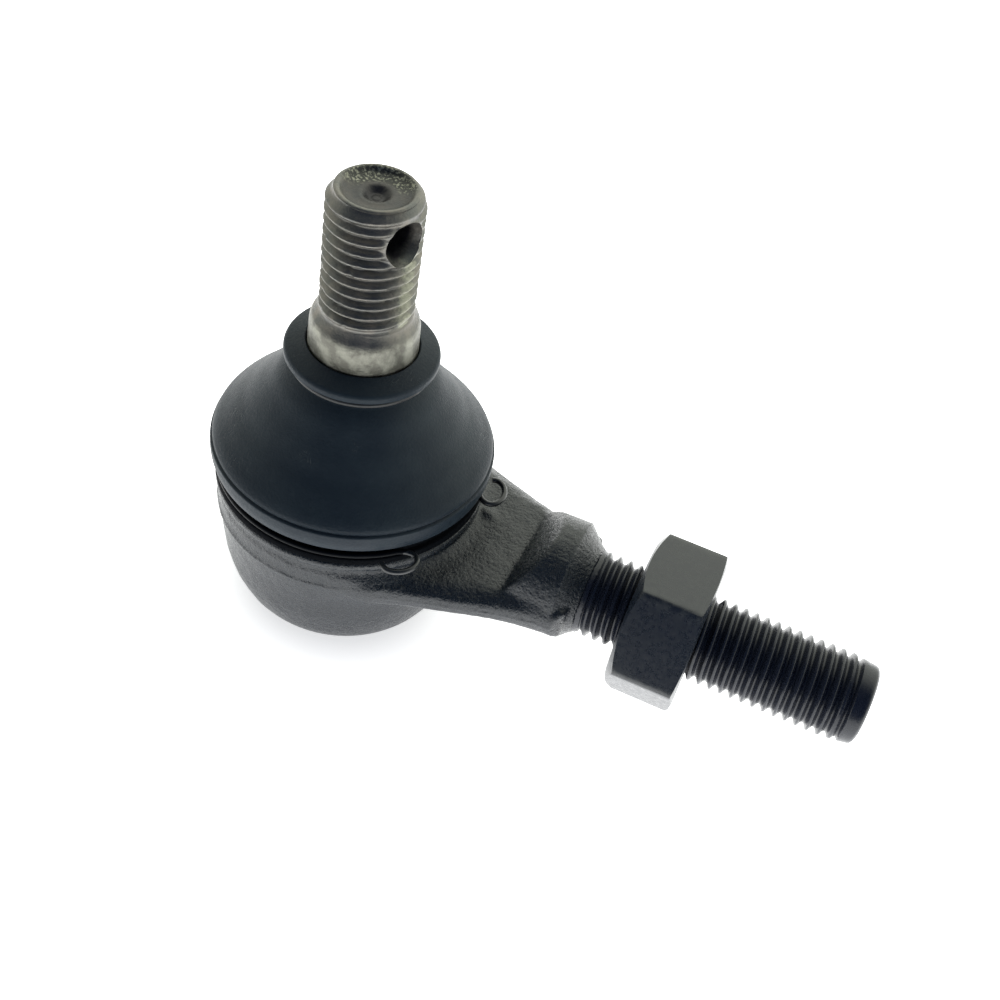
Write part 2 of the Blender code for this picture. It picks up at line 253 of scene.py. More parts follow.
def boolean(made, other, operation, solver="EXACT"):
    """Applies a Boolean to the object and removes the second one."""
    modifier = made.modifiers.new("Boolean", "BOOLEAN")
    modifier.operation = operation
    modifier.solver = solver
    modifier.object = other
    bpy.context.view_layer.update()
    graph = bpy.context.evaluated_depsgraph_get()
    result = bpy.data.meshes.new_from_object(made.evaluated_get(graph))
    made.modifiers.clear()
    made.data = result
    bpy.data.objects.remove(other, do_unlink=True)


# ---------------------------------------------------------------- threads


def thread_form(turns):
    """0 at a thread's crest and 1 at its root, for a place given in turns."""
    share = np.abs((turns + 0.5) % 1.0 - 0.5) * 2
    flank = np.clip((share - 0.13) / 0.70, 0.0, 1.0)
    return flank + 0.05 * np.sin(np.pi * flank) * (flank - 0.5)


def thread_rows(start, end, rows_per_turn):
    """Heights of helix-aligned rows that cover start to end in every column."""
    first = math.floor(start / PITCH) - 2
    last = math.ceil(end / PITCH) + 1
    count = (last - first) * rows_per_turn + 1
    return first * PITCH + np.arange(count) * PITCH / rows_per_turn


def helical_grid(start, end, columns, rows_per_turn, radius_at):
    """Points and faces of a threaded skin about +Z whose rows follow the helix.

    radius_at(height, angle) gives the radius. Rows beyond an end are drawn in onto that end's ring.
    """
    rows = thread_rows(start, end, rows_per_turn)
    angle = np.linspace(0.0, 2 * np.pi, columns, endpoint=False)
    height = rows[:, None] + angle[None, :] / (2 * np.pi) * PITCH
    height = np.clip(height, start, end)
    spread = np.broadcast_to(angle[None, :], height.shape)
    radius = radius_at(height, spread)
    points = np.stack([radius * np.cos(spread), radius * np.sin(spread), height], axis=2)
    faces = []
    for row in range(len(rows) - 1):
        here, there = row * columns, (row + 1) * columns
        for column in range(columns - 1):
            faces.append((here + column, here + column + 1, there + column + 1, there + column))
        # The last column meets the first one a full turn further up.
        if row + 1 + rows_per_turn < len(rows):
            up, upper = here + rows_per_turn * columns, there + rows_per_turn * columns
            faces.append((here + columns - 1, up, upper, there + columns - 1))
    return points.reshape(-1, 3), faces


def threaded_piece(name, start, end, radius_at, below, above, columns=128, rows_per_turn=10):
    """A solid with a thread in its middle and turned ends below and above it.

    below runs from the axis up to the thread's start, above from its end back to the axis.
    """
    points, faces = helical_grid(start, end, columns, rows_per_turn, radius_at)
    angle = np.linspace(0.0, 2 * np.pi, columns, endpoint=False)
    blocks = [points]
    total = len(points)
    for line, at, first in ((below, start, False), (above, end, True)):
        ring = radius_at(np.full(columns, at), angle)
        rim = np.stack([ring * np.cos(angle), ring * np.sin(angle), np.full(columns, at)], axis=1)
        body = polar_grid([p[0] for p in line], [p[1] for p in line], columns)
        stack = [rim[None], body] if first else [body, rim[None]]
        grid = np.concatenate(stack)
        faces += [tuple(i + total for i in f) for f in grid_faces(len(grid), columns)]
        blocks.append(grid.reshape(-1, 3))
        total += grid.shape[0] * columns
    return new_object(name, np.vstack(blocks), faces)


# ---------------------------------------------------------------- the forging, as a distance field


def polygon_distance(across, up, corners):
    """Signed distance to a closed polygon, negative inside."""
    nearest = np.full(across.shape, 1e9)
    inside = np.zeros(across.shape, bool)
    for (ax, ay), (bx, by) in zip(corners, corners[1:] + corners[:1]):
        ex, ey = bx - ax, by - ay
        wx, wy = across - ax, up - ay
        share = np.clip((wx * ex + wy * ey) / (ex * ex + ey * ey), 0.0, 1.0)
        nearest = np.minimum(nearest, (wx - ex * share) ** 2 + (wy - ey * share) ** 2)
        if ey:
            spans = (ay <= up) != (by <= up)
            inside ^= spans & (across < ax + wy * ex / ey)
    return np.where(inside, -1.0, 1.0) * np.sqrt(nearest)


def both(first, second, blend=0.0):
    """Union of two fields, with a fillet."""
    if not blend:
        return np.minimum(first, second)
    near = np.maximum(blend - np.abs(first - second), 0.0) / blend
    return np.minimum(first, second) - near * near * blend / 4


def common(first, second, blend=0.0):
    """Intersection of two fields, with a rounded edge."""
    return -both(-first, -second, blend)


def socket_outline():
    """Half section of the socket, as (radius, height)."""
    wall = flowing(
        [(14.95, 14.6), (14.95, 12.6), (14.55, 9.5), (14.1, 6.0), (13.45, 3.6), (12.75, 1.9), (12.0, 0.7)]
    )
    top = [(8.9, 20.6), (13.3, 20.6), (13.7, 20.2), (13.7, 17.1), (15.0, 17.1), (15.3, 16.8)]
    top += [(15.3, 16.3), (14.75, 15.8), (14.75, 15.2)]
    return [(0.0, 20.6)] + top + wall + [(11.3, 0.0), (0.0, 0.0)]


def socket_hollow():
    """Half section of the space for the ball, its seats, the spring and the closing plate."""
    return [(0.0, 21.5), (9.7, 21.5), (9.7, 20.6), (8.9, 18.4), (10.2, 16.8), (11.1, 15.0)] + [
        (11.5, 13.0), (11.5, 0.8), (9.4, 0.8), (9.4, 0.2), (9.7, -0.5), (0.0, -0.5)
    ]


def arm_half_width(along):
    """The arm narrows from the socket and flares a little at the boss."""
    share = np.clip((along - 9.0) / 19.0, 0.0, 1.0)
    return 13.1 - 6.6 * share + share**6


def forging_field(x, y, z):
    """Signed distance, roughly, to the socket, arm, boss and cone."""
    radius = np.hypot(x, y)
    rise = np.abs(z - AXIS)
    side = np.abs(y)
    socket = polygon_distance(radius, z, socket_outline())
    flash = common(np.abs(z - AXIS) - 0.14, radius - 15.14, 0.15)
    socket = both(socket, flash, 0.3)

    half = arm_half_width(x)
    run = 1.9 - 1.0 * np.clip((x - 19.0) / 7.0, 0.0, 1.0)
    slope = ((side - (half - run)) * 1.1 + (rise - WEB_HALF_HEIGHT) * run) / np.hypot(1.1, run)
    arm = common(common(rise - WEB_HALF_HEIGHT, side - half, 0.3), slope, 0.5)
    arm = both(arm, common(rise - 0.12, side - half - 0.07, 0.12), 0.2)
    corner = (x - 28.7 + (side - 7.2) * 0.75) / 1.25
    arm = common(common(arm, x - 29.5, 0.4), corner, 0.3)
    arm = common(arm, 6.0 - x)

    away = np.hypot(y, z - AXIS)
    ramp = (-(x - 22.0) * 1.5 + (rise - WEB_HALF_HEIGHT)) / 1.803
    form = np.where(z > AXIS - 0.7, side - BOSS_HALF_WIDTH, away - BOSS_LOW_RADIUS)
    boss = common(common(away - BOSS_RADIUS, x - BOSS_END, 0.12), ramp, 0.5)
    boss = common(boss, form, 0.7)
    slant = (BOSS_RADIUS - CONE_RADIUS) / (CONE_END - BOSS_END)
    cone = (away - (BOSS_RADIUS - (x - BOSS_END) * slant)) * 0.725
    cone = common(cone, np.maximum(x - 30.9, BOSS_END - 1.0 - x))
    neck = away - 4.75 - 0.3 * np.clip((THREAD_START - x) / 0.8, 0.0, 1.0)
    neck = common(neck, np.abs(x - 29.0) - 1.9, 0.1)
    cone = common(both(cone, neck, 0.5), np.maximum(away - BOSS_RADIUS, form))
    shank = common(away - SHANK_CORE, np.abs(x - 28.0) - 2.9)

    whole = both(both(arm, boss, 0.45), both(cone, shank), 0.15)
    whole = both(socket, whole, 2.2)
    # A small lump on the web.
    lump = np.sqrt((x - 16.1) ** 2 + (y - 3.05) ** 2 + (z - 14.45) ** 2) - 0.95
    whole = both(whole, lump, 0.5)
    return common(whole, -polygon_distance(radius, z, socket_hollow()), 0.15)


def surface_of(field, low, step):
    """Quads round the zero level of a sampled field, a point to each cell that it passes through."""
    shape = np.array(field.shape)
    cells = tuple(shape - 1)
    total = np.zeros(cells + (3,), np.float32)
    count = np.zeros(cells, np.float32)
    crossings = []
    for axis in range(3):
        lower = [slice(None)] * 3
        upper = [slice(None)] * 3
        lower[axis] = slice(0, -1)
        upper[axis] = slice(1, None)
        a, b = field[tuple(lower)], field[tuple(upper)]
        where = np.argwhere((a < 0) != (b < 0))
        first = a[tuple(where.T)]
        share = first / (first - b[tuple(where.T)])
        place = where.astype(np.float32)
        place[:, axis] += share
        others = [i for i in range(3) if i != axis]
        keep = np.ones(len(where), bool)
        for other in others:
            keep &= (where[:, other] > 0) & (where[:, other] < shape[other] - 1)
        where, place, first = where[keep], place[keep], first[keep]
        around = []
        for da, db in ((0, 0), (1, 0), (1, 1), (0, 1)):
            cell = where.copy()
            cell[:, others[0]] -= da
            cell[:, others[1]] -= db
            np.add.at(total, tuple(cell.T), place)
            np.add.at(count, tuple(cell.T), 1.0)
            around.append(cell)
        flip = (first < 0) == (axis != 1)
        crossings.append((around, flip))
    used = count > 0
    number = np.full(cells, -1, np.int64)
    number[used] = np.arange(int(used.sum()))
    points = total[used] / count[used][:, None] * step + np.asarray(low)
    faces = []
    for around, flip in crossings:
        quads = np.stack([number[tuple(cell.T)] for cell in around], axis=1)
        quads[~flip] = quads[~flip][:, ::-1]
        faces += quads.tolist()
    return points, faces


def make_forging():
    """Socket, arm, boss and threaded shank, one skin."""
    low = np.array([-15.9, -15.9, -0.5])
    high = np.array([31.9, 15.9, 21.3])
    step = FORGING_STEP
    axes = [np.arange(low[i], high[i] + step, step, dtype=np.float32) for i in range(3)]
    x, y, z = np.meshgrid(*axes, indexing="ij", sparse=True)
    x, y, z = np.broadcast_arrays(x, y, z)
    points, faces = surface_of(forging_field(x, y, z).astype(np.float32), low, step)
    forging = new_object("socket_forging", points, faces)
    roughen_forging(forging.data)

    def radius_at(height, angle):
        turns = (height - THREAD_START) / PITCH - angle / (2 * np.pi)
        start = np.clip((height - THREAD_START + 0.15) / 1.0, 0.0, 1.0)
        fade = 1.0 - 0.72 * np.clip((height - RUNOUT_START) / RUNOUT_LENGTH, 0.0, 1.0) ** 1.2
        bruise = 0.02 * np.sin(angle * 3 + height * 1.7) * np.clip((height - 57.0) / 4.0, 0.0, 1.0)
        radius = CREST - THREAD_DEPTH * thread_form(turns) * fade * (0.35 + 0.65 * start) + bruise
        rim = CREST - 0.05 - np.clip(height - 62.35, 0.0, 1.0) ** 1.6 * 0.85
        rim -= 0.42 * np.clip((height - 59.6) / 2.8, 0.0, 1.0)
        return np.minimum(radius, rim)

    below = [(0.0, SHANK_START - 0.4), (4.1, SHANK_START - 0.4)]
    above = [(4.15, SHANK_END - 0.08), (4.0, SHANK_END), (3.2, SHANK_END - 0.12), (1.4, SHANK_END - 0.3)]
    above += [(0.0, SHANK_END - 0.34)]
    shank = threaded_piece("shank", SHANK_START, SHANK_END - 0.25, radius_at, below, above)
    lay_along_x(shank)
    tidy_mesh(shank.data)
    boolean(forging, shank, "UNION", "MANIFOLD")
    forging.data.shade_smooth()
    forging.data.set_sharp_from_angle(angle=math.radians(38.0))
    points = vertex_points(forging.data)
    away = np.hypot(points[:, 1], points[:, 2] - AXIS)
    threaded = points[:, 0] > THREAD_START - 0.3
    mark(forging.data, "crest", np.where(threaded, np.clip((away - SHANK_CORE) / 0.7, 0.0, 1.0), 0.0))
    mark(forging.data, "turned", threaded)
    return forging


def roughen_forging(mesh):
    """Shallow lumps left by the die, over the forged skin only."""
    points = vertex_points(mesh)
    normals = vertex_normals(mesh)
    radius = np.hypot(points[:, 0], points[:, 1])
    forged = np.clip((radius - 12.2) / 0.8, 0.0, 1.0) * np.clip((17.0 - points[:, 2]) / 0.8, 0.0, 1.0)
    forged = np.maximum(forged, (points[:, 0] > 15.0) & (points[:, 0] < 27.6))
    forged *= points[:, 0] < 27.6
    push = 0.05 * lumps(points, 2.6, 1) + 0.03 * lumps(points, 1.0, 2) + 0.02 * lumps(points, 0.5, 3)
    moved = points + normals * (push * forged)[:, None]
    moved[:, 2] = np.maximum(moved[:, 2], 0.0)
    set_points(mesh, moved)


# ---------------------------------------------------------------- ball stud


def make_ball_stud():
    """Ball, neck, taper seat, thread and dished end, with the cotter hole drilled through."""
    foot = math.radians(-70.0)
    join = math.asin(math.sqrt(BALL_RADIUS**2 - STUD_NECK_RADIUS**2) / BALL_RADIUS)
    ball = []
    for step in range(49):
        angle = foot + (join - foot) * step / 48
        ball.append((BALL_RADIUS * math.cos(angle), AXIS + BALL_RADIUS * math.sin(angle)))
    seat = [(5.9, 30.2), (5.9, 34.4), (5.78, 38.3), (5.6, 39.0), (5.0, 39.75)]
    neck = rounded(
        [ball[-1], (STUD_NECK_RADIUS, 24.0), (STUD_NECK_RADIUS, 26.4)] + seat,
        [0.8, 1.2, 0.8, 0.6, 0.5, 0.35],
        5,
    )
    below = [(0.0, ball[0][1])] + ball[:-1] + neck

    def radius_at(height, angle):
        turns = (height - STUD_THREAD_PHASE) / PITCH - angle / (2 * np.pi)
        start = np.clip((height - STUD_THREAD_START) / 1.3, 0.0, 1.0)
        stop = 1.0 - 0.6 * np.clip((height - 52.0) / 1.8, 0.0, 1.0)
        depth = (0.18 + 0.82 * start) * stop * STUD_THREAD_DEPTH
        rim = CREST - 0.02 - np.clip(height - 52.9, 0.0, 2.0) ** 1.6 * 0.52
        across = np.sin(angle - COTTER_ANGLE) * CREST
        smear = 1.0 - np.clip((np.hypot(across, height - COTTER_HEIGHT) - 2.3) / 0.8, 0.0, 1.0)
        return rim - depth * thread_form(turns) * (1.0 - smear) - 0.16 * smear

    top = STUD_TOP - 0.3
    rim = flowing([(4.22, top + 0.17), (4.1, STUD_TOP - 0.04), (3.95, STUD_TOP), (3.75, STUD_TOP - 0.03)], 3)
    dish = flowing([(3.62, STUD_TOP - 0.12), (3.3, 53.9), (2.8, 53.7), (2.3, 53.62), (1.75, 53.66)], 4)
    dimple = flowing(
        [(1.45, 53.6), (1.1, 53.32), (0.8, 53.1), (0.55, 53.06), (0.35, 53.12), (0.15, 53.14)],
        3,
    )
    above = rim + dish + dimple + [(0.0, 53.14)]
    stud = threaded_piece("ball_stud_steel", STUD_THREAD_START, top, radius_at, below, above, 144, 12)
    bruise_stud(stud.data)
    boolean(stud, cotter_cutter(), "DIFFERENCE")
    stud.data.shade_smooth()
    stud.data.set_sharp_from_angle(angle=math.radians(42.0))
    mark_stud(stud.data)
    return stud


def mark_stud(mesh):
    """Marks the crests, the thread's right side for a painted highlight, the speckled rear of the dish, the
    seat, painted shade in the cotter hole and the darker dished end.
    """
    points = vertex_points(mesh)
    height = points[:, 2]
    away = np.hypot(points[:, 0], points[:, 1])
    threaded = (height > 40.0) & (height < 53.0) & (away > 4.2)
    # Used for painted highlights on the crests and painted shade in the thread roots.
    mark(mesh, "crest", np.where(threaded, np.clip((away - 4.35) / 0.65, 0.0, 1.0), 0.7))
    spin = np.degrees(np.arctan2(points[:, 1], points[:, 0]))
    # A painted highlight on the thread's right side.
    mark(mesh, "wear_and_painted_highlight", np.exp(-(((spin + 13.0) / 17.0) ** 2)) * (height > 40.2) * (height < 49.5))
    rear = points[:, 1] * 0.97 - points[:, 0] * 0.25
    crescent = np.clip((away - 1.9) / 0.4, 0.0, 1.0) * np.clip((3.9 - away) / 0.1, 0.0, 1.0)
    mark(mesh, "dish", crescent * np.clip(rear / 1.2 - 0.3, 0.0, 1.0) * (height > 53.0))
    mark(mesh, "seat", np.clip((39.2 - height) / 0.5, 0.0, 1.0) * (away > 4.4))
    # Painted shade inside the cotter hole; the dished end is darkened too.
    bore = np.clip((4.1 - away) / 0.4, 0.0, 1.0) * (height > 48.0) * (height < 52.8)
    recess = np.clip((3.7 - away) / 0.4, 0.0, 1.0) * 0.62 + np.clip((1.5 - away) / 0.4, 0.0, 1.0) * 0.2
    mark(mesh, "bore", np.maximum(bore, recess * (height > 52.9)))


def bruise_stud(mesh):
    """The drill has dragged the threads round the cotter hole's mouth, and crests are nicked."""
    points = vertex_points(mesh)
    away = np.hypot(points[:, 0], points[:, 1])
    outside = (away > 4.15) & (points[:, 2] > 40.5) & (points[:, 2] < 53.0)
    nicks = lumps(points, 0.9, 5)
    push = -0.10 * np.clip(nicks - 0.22, 0.0, 1.0) * 3
    push += 0.015 * lumps(points, 2.2, 6)
    for way in (COTTER_ANGLE, COTTER_ANGLE + math.pi):
        mouth = np.array([CREST * math.cos(way), CREST * math.sin(way), COTTER_HEIGHT])
        reach = np.linalg.norm(points - mouth, axis=1)
        ring = np.exp(-(((reach - 2.25) / 0.45) ** 2))
        push += ring * (0.04 + 0.10 * lumps(points, 0.9, 7))
    push = np.where(outside, push, 0.0)
    scale = (away + push) / np.maximum(away, 1e-6)
    points[:, 0] *= scale
    points[:, 1] *= scale
    set_points(mesh, points)


def cotter_cutter():
    """A ragged drill, flared at both ends."""
    columns = 40
    heights = [-6.2, -5.2, -4.75, -4.3, -3.7, -3.0, -2.0, 0.0, 2.0, 3.0, 3.7, 4.3, 4.75, 5.2, 6.2]
    flare = [2.9, 2.55, 2.4, 2.25, 2.0, 1.7, 1.6, 1.6, 1.6, 1.7, 2.0, 2.25, 2.4, 2.55, 2.9]
    grid = polar_grid(flare, heights, columns)
    flat = grid.reshape(-1, 3)
    ragged = 1.0 + 0.05 * lumps(flat, 2.2, 11) + 0.025 * lumps(flat, 0.7, 12)
    grid = (flat * np.stack([ragged, ragged, np.ones(len(flat))], axis=1)).reshape(grid.shape)
    low = np.array([[0.0, 0.0, heights[0]]] * columns)[None]
    high = np.array([[0.0, 0.0, heights[-1]]] * columns)[None]
    grid = np.concatenate([low, grid, high])
    cutter = new_object("cotter_cutter", grid.reshape(-1, 3), grid_faces(len(grid), columns))
    turn = Matrix.Rotation(COTTER_ANGLE, 4, "Z") @ Matrix.Rotation(math.pi / 2, 4, "Y")
    cutter.data.transform(Matrix.Translation((0, 0, COTTER_HEIGHT * MM)) @ turn)
    return cutter


# ---------------------------------------------------------------- boot, ring, clip, plate


def make_dust_boot():
    """Lip, groove, cone, bead and foot as one thick skin, a little uneven as moulded rubber is."""
    lip = rounded(
        [(6.12, 35.62), (8.1, 34.85), (8.3, 34.55), (8.3, 33.95), (7.05, 33.75), (7.05, 32.55), (7.9, 31.8)],
        [0.2, 0.15, 0.12, 0.3, 0.45],
        4,
    )
    cone = flowing(
        [(7.9, 31.8), (8.7, 30.9), (9.8, 29.4), (11.0, 27.9), (12.2, 26.4), (13.3, 25.2), (14.3, 24.1)]
        + [(15.0, 23.35), (15.45, 22.75), (15.62, 22.35)],
        6,
    )
    bead = rounded(
        [(15.62, 22.35), (15.5, 22.1), (15.85, 21.95), (15.87, 20.7), (15.6, 19.75)]
        + [(15.1, 19.3), (14.6, 19.2)],
        [0.06, 0.2, 0.7, 0.5, 0.4],
        5,
    )
    foot = rounded(
        [(14.6, 19.2), (14.6, 18.0), (15.2, 17.95), (15.35, 17.25), (14.0, 17.25)],
        [0.1, 0.2, 0.12],
        3,
    )
    inside = [(14.0, 20.9)]
    inside += flowing([(14.3, 21.9), (13.9, 23.0), (12.4, 24.5), (10.2, 27.1), (8.0, 29.9)], 5)
    inside += [(6.9, 31.6), (6.1, 32.8), (6.0, 33.4), (5.97, 35.4), (6.02, 35.58)]
    profile = lip[:-1] + cone[:-1] + bead[:-1] + foot + inside

    def wobble(grid):
        flat = grid.reshape(-1, 3)
        away = np.hypot(flat[:, 0], flat[:, 1])
        push = 0.035 * lumps(flat, 6.0, 21) + 0.012 * lumps(flat, 1.8, 22)
        push *= np.clip((33.0 - flat[:, 2]) / 1.5, 0.0, 1.0) * np.clip((flat[:, 2] - 22.4) / 1.5, 0.0, 1.0)
        scale = ((away + push) / away)[:, None]
        return np.hstack([flat[:, :2] * scale, flat[:, 2:]]).reshape(grid.shape)

    boot = turned("boot_rubber", profile, 200, True, wobble, 34.0)
    # Painted shade: the foot and the bead's underside, which lie in the bead's shade, are marked to be drawn
    # near black.
    mark(boot.data, "painted_shade", vertex_points(boot.data)[:, 2] < 19.4)
    return boot


def make_neck_ring():
    """Wire in the groove under the boot's lip."""
    angles = np.linspace(0.0, 2 * np.pi, 18, endpoint=False)[::-1]
    profile = []
    for angle in angles:
        away = NECK_RING_RADIUS + NECK_RING_WIRE * math.cos(angle)
        profile.append((away, NECK_RING_HEIGHT + NECK_RING_WIRE * math.sin(angle)))
    return turned("neck_ring_wire", profile, 160, True, None, 60.0)


def make_closing_plate():
    """A pressed plate whose middle stands out level with the socket's rolled edge."""
    plate = [(0.0, 0.9)] + rounded([(7.9, 0.9), (8.6, 1.75), (11.2, 1.75), (11.2, 1.1)], [0.4, 0.1], 4)
    plate += rounded([(9.0, 1.1), (8.3, 0.05), (7.6, 0.0), (0.0, 0.0)], [0.3, 0.2], 4)
    return turned("closing_plate_steel", plate, 160, False, None, 34.0)


def clip_eye(angle, way):
    """An eye that curls out of the ring, from its free end to where it runs into the ring."""
    outward = np.array([math.cos(angle), math.sin(angle)])
    sideways = np.array([-math.sin(angle), math.cos(angle)])
    eye = []
    for step in range(60):
        swing = math.radians(465.0 - 285.0 * step / 60)
        away = CLIP_RADIUS + CLIP_EYE_OUT + CLIP_EYE_OUT * math.cos(swing)
        place = outward * away + sideways * way * CLIP_EYE_ALONG * math.sin(swing)
        eye.append((place[0], place[1], CLIP_HEIGHT))
    return eye


def clip_route():
    """Centre line of the clip: an eye, the long way round the boot's foot, then the other eye."""
    first, second = (math.radians(angle) for angle in CLIP_EYE_ANGLES)
    end = second + 2 * math.pi
    ring = []
    for step in range(161):
        angle = first + (end - first) * step / 160
        ring.append((CLIP_RADIUS * math.cos(angle), CLIP_RADIUS * math.sin(angle), CLIP_HEIGHT))
    return clip_eye(first, 1.0) + ring + list(reversed(clip_eye(second, -1.0)))


def make_boot_clip():
    """Round wire along the clip's centre line."""
    curve = bpy.data.curves.new("boot_clip_wire", "CURVE")
    curve.dimensions = "3D"
    curve.bevel_depth = CLIP_WIRE * MM
    curve.bevel_resolution = 5
    curve.use_fill_caps = True
    route = clip_route()
    line = curve.splines.new("POLY")
    line.points.add(len(route) - 1)
    for point, place in zip(line.points, route):
        point.co = (place[0] * MM, place[1] * MM, place[2] * MM, 1.0)
    made = bpy.data.objects.new("boot_clip_route", curve)
    bpy.context.scene.collection.objects.link(made)
    bpy.context.view_layer.update()
    mesh = bpy.data.meshes.new_from_object(made.evaluated_get(bpy.context.evaluated_depsgraph_get()))
    bpy.data.objects.remove(made, do_unlink=True)
    tidy_mesh(mesh)
    mesh.shade_smooth()
    mesh.set_sharp_from_angle(angle=math.radians(50.0))
    points = vertex_points(mesh)
    # Painted shade: the ring part of the clip, which lies in the bead's shade, is marked to be drawn near
    # black; the eyes are not.
    mark(mesh, "painted_shade", np.hypot(points[:, 0], points[:, 1]) < CLIP_RADIUS + 0.45)
    wire = bpy.data.objects.new("boot_clip_wire", mesh)
    bpy.context.scene.collection.objects.link(wire)
    return wire


# ---------------------------------------------------------------- jam nut


def make_jam_nut():
    """Hexagon nut with turned chamfers, soft edges and a thread that meets the shank's."""
    columns = 240
    half = (NUT_END - NUT_START) / 2
    middle = (NUT_END + NUT_START) / 2
    angle = np.linspace(0.0, 2 * np.pi, columns, endpoint=False)
    folded = (angle + math.pi / 6) % (math.pi / 3) - math.pi / 6
    flat = NUT_FLATS / 2 / np.cos(folded)
    corner = NUT_FLATS / math.sqrt(3.0)
    edge = flat - 0.09 * np.clip((flat - (corner - 0.25)) / 0.25, 0.0, 1.0) ** 2
    face = NUT_FLATS / 2 - 0.35

    def side(sign, slope):
        """Rings from the bore's mouth out over the chamfer to the hexagon's edge."""
        drop = math.tan(math.radians(slope))
        rings = []
        for radius, back in ((5.95, 0.0), (6.2, 0.0), (7.2, 0.0), (face - 0.1, 0.0), (face, 0.02)):
            rings.append((np.full(columns, radius), np.full(columns, sign * (half - back))))
        for share in (0.25, 0.5, 0.75, 0.93, 0.98):
            radius = face + (edge - face) * share
            rings.append((radius, sign * (half - 0.02 - (radius - face) * drop)))
        depth = 0.02 + (edge - face) * drop
        for back, inset in ((0.04, 0.03), (0.12, 0.0)):
            rings.append((edge - inset * 0.4, sign * (half - depth - back)))
        return rings

    start, end = -half + NUT_INNER_MOUTH_DEPTH, half - NUT_OUTER_MOUTH_DEPTH

    def bore_at(height, spin):
        turns = (height + middle - THREAD_START) / PITCH - spin / (2 * np.pi)
        deep = CREST + 0.10 - (THREAD_DEPTH - 0.02) * thread_form(turns)
        return np.maximum(deep, NUT_BORE)

    points, faces = helical_grid(start, end, columns, 8, bore_at)
    lower = side(-1.0, NUT_INNER_CHAMFER)
    upper = side(1.0, NUT_OUTER_CHAMFER)
    low_mouth = [(np.full(columns, NUT_MOUTH), np.full(columns, start - 0.02))]
    high_mouth = [(np.full(columns, NUT_MOUTH), np.full(columns, end + 0.02))]
    rim_low = [(bore_at(np.full(columns, start), angle), np.full(columns, start))]
    rim_high = [(bore_at(np.full(columns, end), angle), np.full(columns, end))]
    stack = rim_high + high_mouth + upper + list(reversed(lower)) + low_mouth + rim_low
    radii = np.array([ring[0] for ring in stack])
    heights = np.array([ring[1] for ring in stack])
    grid = polar_grid(radii, heights, columns)
    faces += [tuple(i + len(points) for i in f) for f in grid_faces(len(stack), columns)]
    nut = new_object("jam_nut_steel", np.vstack([points, grid.reshape(-1, 3)]), faces)
    lay_along_x(nut)
    nut.data.transform(Matrix.Translation((middle * MM, 0, 0)))
    nut.data.shade_smooth()
    nut.data.set_sharp_from_angle(angle=math.radians(30.0))
    points = vertex_points(nut.data)
    away = np.hypot(points[:, 1], points[:, 2] - AXIS)
    mark(nut.data, "edge", np.clip((away - 9.2) / 0.5, 0.0, 1.0))
    return nut


# ---------------------------------------------------------------- materials


class Look:
    """A material and short ways to add nodes to it."""

    def __init__(self, name):
        self.material = bpy.data.materials.new(name)
        self.material.use_nodes = True
        self.tree = self.material.node_tree
        self.shader = self.tree.nodes["Principled BSDF"]
        self.place = self.add("ShaderNodeTexCoord").outputs["Object"]

    def add(self, kind, **settings):
        node = self.tree.nodes.new(kind)
        for key, value in settings.items():
            setattr(node, key, value)
        return node

    def link(self, source, target):
        self.tree.links.new(source, target)

    def set(self, name, value):
        self.shader.inputs[name].default_value = value

    def feed(self, target, value):
        if isinstance(value, (int, float)):
            target.default_value = value
        elif isinstance(value, tuple):
            target.default_value = (*value, 1.0)
        else:
            self.link(value, target)

    def noise(self, size_mm, detail=3.0, roughness=0.55, distortion=0.0, place=None):
        node = self.add("ShaderNodeTexNoise")
        self.link(place or self.place, node.inputs["Vector"])
        node.inputs["Scale"].default_value = 1000.0 / size_mm
        node.inputs["Detail"].default_value = detail
        node.inputs["Roughness"].default_value = roughness
        node.inputs["Distortion"].default_value = distortion
        return node.outputs["Fac"]

    def stretched(self, scale):
        node = self.add("ShaderNodeMapping")
        self.link(self.place, node.inputs["Vector"])
        node.inputs["Scale"].default_value = scale
        return node.outputs["Vector"]

    def attribute(self, name):
        return self.add("ShaderNodeAttribute", attribute_name=name).outputs["Fac"]

    def ramp(self, value, low, high, out_low=0.0, out_high=1.0):
        node = self.add("ShaderNodeMapRange")
        self.link(value, node.inputs["Value"])
        node.inputs["From Min"].default_value = low
        node.inputs["From Max"].default_value = high
        node.inputs["To Min"].default_value = out_low
        node.inputs["To Max"].default_value = out_high
        return node.outputs["Result"]

    def math(self, operation, first, second=0.0):
        node = self.add("ShaderNodeMath", operation=operation)
        self.feed(node.inputs[0], first)
        self.feed(node.inputs[1], second)
        return node.outputs["Value"]

    def mix(self, share, first, second):
        node = self.add("ShaderNodeMix", data_type="RGBA")
        self.feed(node.inputs["Factor"], share)
        self.feed(node.inputs[6], first)
        self.feed(node.inputs[7], second)
        return node.outputs[2]

    def bump(self, heights):
        """Bumps from (height, depth in mm), laid one over the other."""
        normal = None
        for height, depth in heights:
            node = self.add("ShaderNodeBump")
            node.inputs["Distance"].default_value = depth * MM
            self.link(height, node.inputs["Height"])
            if normal is not None:
                self.link(normal, node.inputs["Normal"])
            normal = node.outputs["Normal"]
        self.link(normal, self.shader.inputs["Normal"])

    def colour(self, value):
        self.feed(self.shader.inputs["Base Color"], value)

    def rough(self, value):
        self.feed(self.shader.inputs["Roughness"], value)


